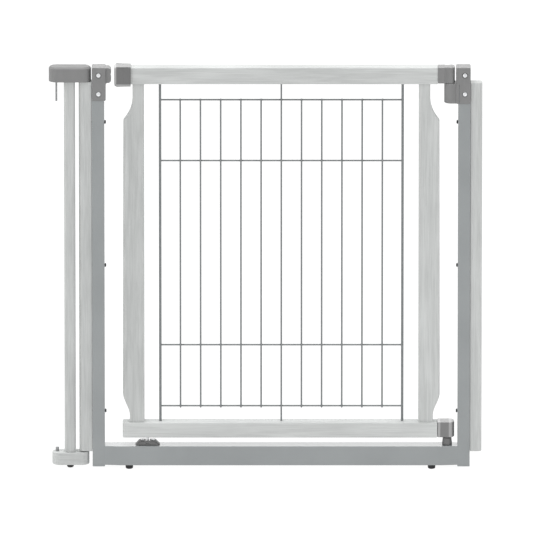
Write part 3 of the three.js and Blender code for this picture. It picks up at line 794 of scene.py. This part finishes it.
def build_stiles(wood_left, wood_right):
    for side, out, wood in (("left", -1, wood_left), ("right", 1, wood_right)):
        low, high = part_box(f"{side}_stile")
        inner = high.x if out < 0 else low.x
        shape = cuboid(low, high)
        for level in levels(LOWER_NECK, 14) + levels(UPPER_NECK, 18):
            sliced(shape, 2, level * MM)
        for vert in shape.verts:
            if abs(vert.co.x - inner) > MM:
                vert.co.x = inner + out * stile_width(vert.co.z / MM) * MM
        long_edges = [
            edge for edge in shape.edges
            if abs(edge.verts[0].co.z - edge.verts[1].co.z) > 1e-5
        ]
        rounded(shape, long_edges, 1.6 * MM, 4)
        add_piece(f"{side}_stile_wood", shape, wood, "door", f"{side}_stile")


def build_hinge_caps(resin, lower_cap_highlight_resin):
    pin_low, pin_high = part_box("upper_hinge_pin")
    axis_x = (pin_low.x + pin_high.x) / 2
    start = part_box("top_rail")[1].x + GAP
    low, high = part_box("upper_hinge_cap")
    cap = cuboid((start, low.y, low.z), high)
    rounded(cap, edges_along(cap, 2, lambda m: m.x > axis_x), 8 * MM, 8)
    scoops = [
        rod(8.6 * MM, (axis_x - MM, y, low.z - 0.1), (axis_x - MM, y, high.z + 0.1), 48)
        for y in (-19.4 * MM, 19.4 * MM)
    ]
    cap = combined(cap, scoops, "DIFFERENCE")
    rounded(cap, end_rims(cap, 2), 1.2 * MM, 3)
    add_piece("upper_hinge_cap_body", cap, resin, "door", "upper_hinge_cap")
    low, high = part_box("lower_hinge_cap")
    bottom = 64.6 * MM
    cap = cuboid((start, low.y, bottom), high)
    rounded(cap, edges_along(cap, 2, lambda m: m.x > axis_x), 11 * MM, 8)
    rounded(cap, edges_along(cap, 2, lambda m: m.x < start + MM), 3 * MM, 4)
    rounded(cap, end_rims(cap, 2), 1.2 * MM, 3)
    boss = rod(6.5 * MM, (axis_x, 0, low.z), (axis_x, 0, bottom + 2 * MM), 40)
    add_piece("lower_hinge_cap_body", combined(cap, [boss]), lower_cap_highlight_resin,
              "door", "lower_hinge_cap")


SLEEVE_TAPER = 4.6 * MM  # length of the bevelled end
SLEEVE_END_DEPTH, SLEEVE_END_HEIGHT = 0.82, 0.92  # of the full depth and height


def build_lock_sleeve(dark):
    """A sleeve on the end of the top rail, open right through, with a pocket for the catch."""
    low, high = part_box("lock_sleeve")
    rail_low, rail_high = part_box("top_rail")
    middle = (low + high) / 2
    shape = cuboid(low, high)
    rounded(shape, edges_along(shape, 0, lambda m: m.z < middle.z), 5.2 * MM, 1)
    rounded(shape, edges_along(shape, 0, lambda m: m.z > middle.z), 2.4 * MM, 1)
    sliced(shape, 0, low.x + SLEEVE_TAPER)
    for vert in shape.verts:
        if vert.co.x < low.x + MM:
            vert.co.y *= SLEEVE_END_DEPTH
            vert.co.z = middle.z + (vert.co.z - middle.z) * SLEEVE_END_HEIGHT
    sharp = [edge for edge in shape.edges if edge.calc_face_angle(0.0) > math.radians(12)]
    rounded(shape, sharp, 0.5 * MM, 2)
    pocket = cuboid((low.x - MM, rail_low.y - GAP, low.z + 2.2 * MM),
                    (rail_low.x - GAP, rail_high.y + GAP, rail_high.z + GAP))
    rounded(pocket, edges_along(pocket, 0, lambda m: m.z < middle.z), 1.0 * MM, 1)
    channel = cuboid((low.x + 4 * MM, rail_low.y - GAP, rail_low.z - GAP),
                     (high.x + MM, rail_high.y + GAP, rail_high.z + GAP))
    shape = combined(shape, [pocket, channel], "DIFFERENCE")
    add_piece("lock_sleeve_body", shape, dark, "lock", "lock_sleeve")


WIRE_COUNT = 13
THICK_WIRE, THIN_WIRE = 2.55 * MM, 1.7 * MM  # radii
CROSS_HEIGHTS = (124.5, 248.9, 623.3, 746.6)  # mm


def round_wire(shape, start, end, radius, sides=20):
    """A straight round wire with domed ends between two points."""
    run = end - start
    made = bmesh.ops.create_cone(
        shape, cap_ends=True, cap_tris=False, segments=sides,
        radius1=radius, radius2=radius, depth=run.length,
    )["verts"]
    rims = {edge for vert in made for edge in vert.link_edges if edge.calc_face_angle(0) > 1.2}
    rims = [edge for edge in rims if abs(edge.verts[0].co.z - edge.verts[1].co.z) < 1e-6]
    before = set(shape.verts) - set(made)
    rounded(shape, rims, radius * 0.45, 3)
    made = [vert for vert in shape.verts if vert not in before]
    turn = Vector((0, 0, 1)).rotation_difference(run.normalized()).to_matrix()
    bmesh.ops.rotate(shape, cent=(0, 0, 0), matrix=turn, verts=made)
    bmesh.ops.translate(shape, vec=(start + end) / 2, verts=made)


def build_wire_panel(coated):
    low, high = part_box("wire_panel")
    thick, thin = THICK_WIRE, THIN_WIRE
    first, last = low.x + thick, high.x - thick
    pitch = (last - first) / (WIRE_COUNT - 1)
    back = thin * 1.75
    shape = bmesh.new()
    for i in range(WIRE_COUNT):
        outer = i in (0, WIRE_COUNT - 1)
        long = outer or i == WIRE_COUNT // 2
        radius = thick if outer else thin
        bottom = low.z if long else CROSS_HEIGHTS[0] * MM - 3 * MM
        top = high.z if long else CROSS_HEIGHTS[-1] * MM + 3 * MM
        x = first + i * pitch
        round_wire(shape, Vector((x, 0, bottom)), Vector((x, 0, top)), radius)
    for height in CROSS_HEIGHTS:
        z = height * MM
        round_wire(shape, Vector((low.x, back, z)), Vector((high.x, back, z)), thin)
        for i in range(WIRE_COUNT):
            made = bmesh.ops.create_uvsphere(shape, u_segments=12, v_segments=8, radius=1.5 * MM)
            weld = made["verts"]
            bmesh.ops.scale(shape, vec=(1.25, 0.9, 1.25), verts=weld)
            bmesh.ops.translate(shape, vec=(first + i * pitch, back * 0.55, z), verts=weld)
    add_piece("welded_wires", shape, coated, "door", "wire_panel")


# ---- link to the next panel ----

def build_link(wood_up, wood_flat, resin):
    low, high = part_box("link_cap")
    shape = oval(low.x, high.x, (high.y - low.y) / 2, low.z, high.z, 72)
    rounded(shape, edges_in_plane(shape, 2, high.z), 3.0 * MM, 1)
    under = [edge for edge in edges_in_plane(shape, 2, low.z) if edge.calc_face_angle(0) > 1]
    rounded(shape, under, 0.8 * MM, 3)
    add_piece("link_cap_body", shape, resin, "link", "link_cap")
    low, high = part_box("link_block")
    shape = oval(low.x, high.x, (high.y - low.y) / 2, low.z, high.z, 64)
    rounded(shape, end_rims(shape, 2), 1.5 * MM, 4)
    add_piece("link_block_wood", shape, wood_flat, "link", "link_block")
    low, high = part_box("link_post")
    add_piece("link_post_wood", rounded_bar(low, high, 2, 6 * MM, 0.6 * MM, 8), wood_up,
              "link", "link_post")


# ---- hidden pieces that keep their CAD shape ----

def dress_hidden_pieces(wood, zinc):
    for side in ("left", "right"):
        for level in ("bottom", "top"):
            set_material(f"{side}_stile_dowel_{level}", wood)
    set_material("link_post_screw", zinc)


def set_material(node, material):
    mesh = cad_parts[node].data
    mesh.materials.clear()
    mesh.materials.append(material)


def build_floor():
    shape = bmesh.new()
    bmesh.ops.create_grid(shape, x_segments=1, y_segments=1, size=30.0)
    mesh = bpy.data.meshes.new("floor")
    shape.to_mesh(mesh)
    shape.free()
    mesh.materials.append(white_floor())
    floor = bpy.data.objects.new("floor", mesh)
    bpy.context.scene.collection.objects.link(floor)


# ---- the gate ----

# Painted highlights: paler bands along the bevels, standing in for the light they catch; the axis
# they cross and where they start and end, in metres.
LOWER_CAP_HIGHLIGHT_BANDS = [(0, 0.3384, 0.3430), (0, 0.3598, 0.3656)]
SLEEVE_HIGHLIGHT_BANDS = [(0, -0.2947, -0.2920), (2, 0.7785, 0.7824)]

add_camera()
add_light()
build_floor()

wood_up = whitewashed_wood("whitewashed_wood_left", 2)
wood_right = whitewashed_wood("whitewashed_wood_right", 2, 0.9, 7)
wood_along = whitewashed_wood("whitewashed_wood_level", 0, 1.7, 8)
wood_block = whitewashed_wood("whitewashed_wood_block", 0, 2.3)
paint = satin_paint()
resin = moulded_resin("grey_resin", (119, 119, 119), (125, 125, 125), 0.38, 0.12)
cap_resin = moulded_resin("cap_resin", (122, 122, 122), (127, 127, 127), 0.5)
# the lower cap and sleeve resins carry painted highlight bands on their bevels
lower_cap_highlight_resin = moulded_resin("lower_cap_resin_painted_highlights", (113, 113, 113), (118, 118, 118), 0.34, 0.4,
                            LOWER_CAP_HIGHLIGHT_BANDS, 156)
sleeve_painted_highlight_resin = moulded_resin("sleeve_painted_highlight_resin", (97, 97, 97), (103, 103, 103), 0.34, 0.5,
                             SLEEVE_HIGHLIGHT_BANDS, 160)
dark = moulded_resin("dark_resin", (98, 98, 98), (106, 106, 106), 0.44)
bush = moulded_resin("bush_resin", (114, 114, 114), (121, 121, 121), 0.44)
plug = moulded_resin("plug_resin", (139, 143, 144), (144, 148, 149))
rubber = black_rubber()
zinc = plated_steel("bright_zinc", (226, 227, 229), (242, 243, 244))
steel = plated_steel("drawn_steel", (138, 139, 140), (156, 157, 158))
black = blackened_steel()

build_steel_frame(paint, plug)
build_posts(wood_up, wood_right)
build_left_bracket(resin)
build_right_bracket(resin)
build_screws(zinc, black)
build_feet(rubber)
build_door_stop(dark)
build_pivots(bush, steel, zinc)
build_rails(wood_along)
build_stiles(wood_up, wood_right)
build_hinge_caps(resin, lower_cap_highlight_resin)
build_lock_sleeve(sleeve_painted_highlight_resin)
build_wire_panel(coated_wire())
build_link(wood_up, wood_block, cap_resin)
dress_hidden_pieces(wood_up, steel)
